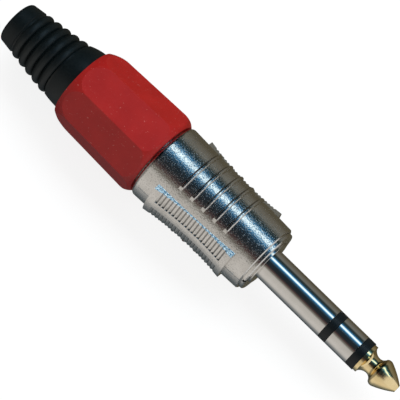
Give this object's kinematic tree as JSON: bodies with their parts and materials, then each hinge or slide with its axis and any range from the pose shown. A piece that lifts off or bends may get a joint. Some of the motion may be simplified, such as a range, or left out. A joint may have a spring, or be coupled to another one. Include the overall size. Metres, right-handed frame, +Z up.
{
  "type": "stereo jack plug",
  "caption": "Straight stereo jack plug with a gold tip, ribbed die-cast shell with thumb pads, faceted screw-on bushing, collet cable clamp and rubber strain relief.",
  "frame": {"origin": "on the plug's axis, where the finger leaves the front boss", "axes": "+X along the plug's axis towards the gold tip, +Z up as the plug lies, with one flat of the bushing facing straight down"},
  "size_m": [0.0975, 0.018, 0.0166],
  "materials": {
    "satin_nickel": "satin nickel plate on a die casting",
    "polished_nickel": "bright nickel plate on turned brass",
    "band_black": "matt black moulding",
    "gold_plate": "polished gold plate",
    "tinned_tag": "tinned brass sheet",
    "washer_plastic": "black moulding",
    "liner_plastic": "natural moulding",
    "chuck_plastic": "white moulding",
    "bushing_red": "red moulding, satin gloss",
    "boot_rubber": "black rubber, soft sheen"
  },
  "bodies": {
    "plug": {"shell": "satin_nickel", "front_bush": "polished_nickel", "sleeve_contact": "polished_nickel", "ring_insulator": "band_black", "ring_contact": "polished_nickel", "tip_insulator": "band_black", "tip_contact": "gold_plate", "sleeve_terminal": "tinned_tag", "front_washer": "washer_plastic", "ring_terminal": "tinned_tag", "rear_washer": "washer_plastic", "tip_terminal": "tinned_tag", "liner": "liner_plastic", "chuck": "chuck_plastic"},
    "boot": {"boot": "boot_rubber"},
    "bushing": {"bushing": "bushing_red"}
  },
  "joints": [
    {"name": "bushing_travel", "type": "slide", "parent": "plug", "child": "boot", "axis": [-1, 0, 0], "range_m": [0, 0.0076]},
    {"name": "bushing_turn", "type": "hinge", "parent": "boot", "child": "bushing", "pos_m": [-0.035, 0, 0], "axis": [-1, 0, 0], "range_deg": [0, 2700]}
  ],
  "couplings": [
    {"joint": "bushing_travel", "follows": "bushing_turn", "m_per_rad": 0.00015915}
  ]
}
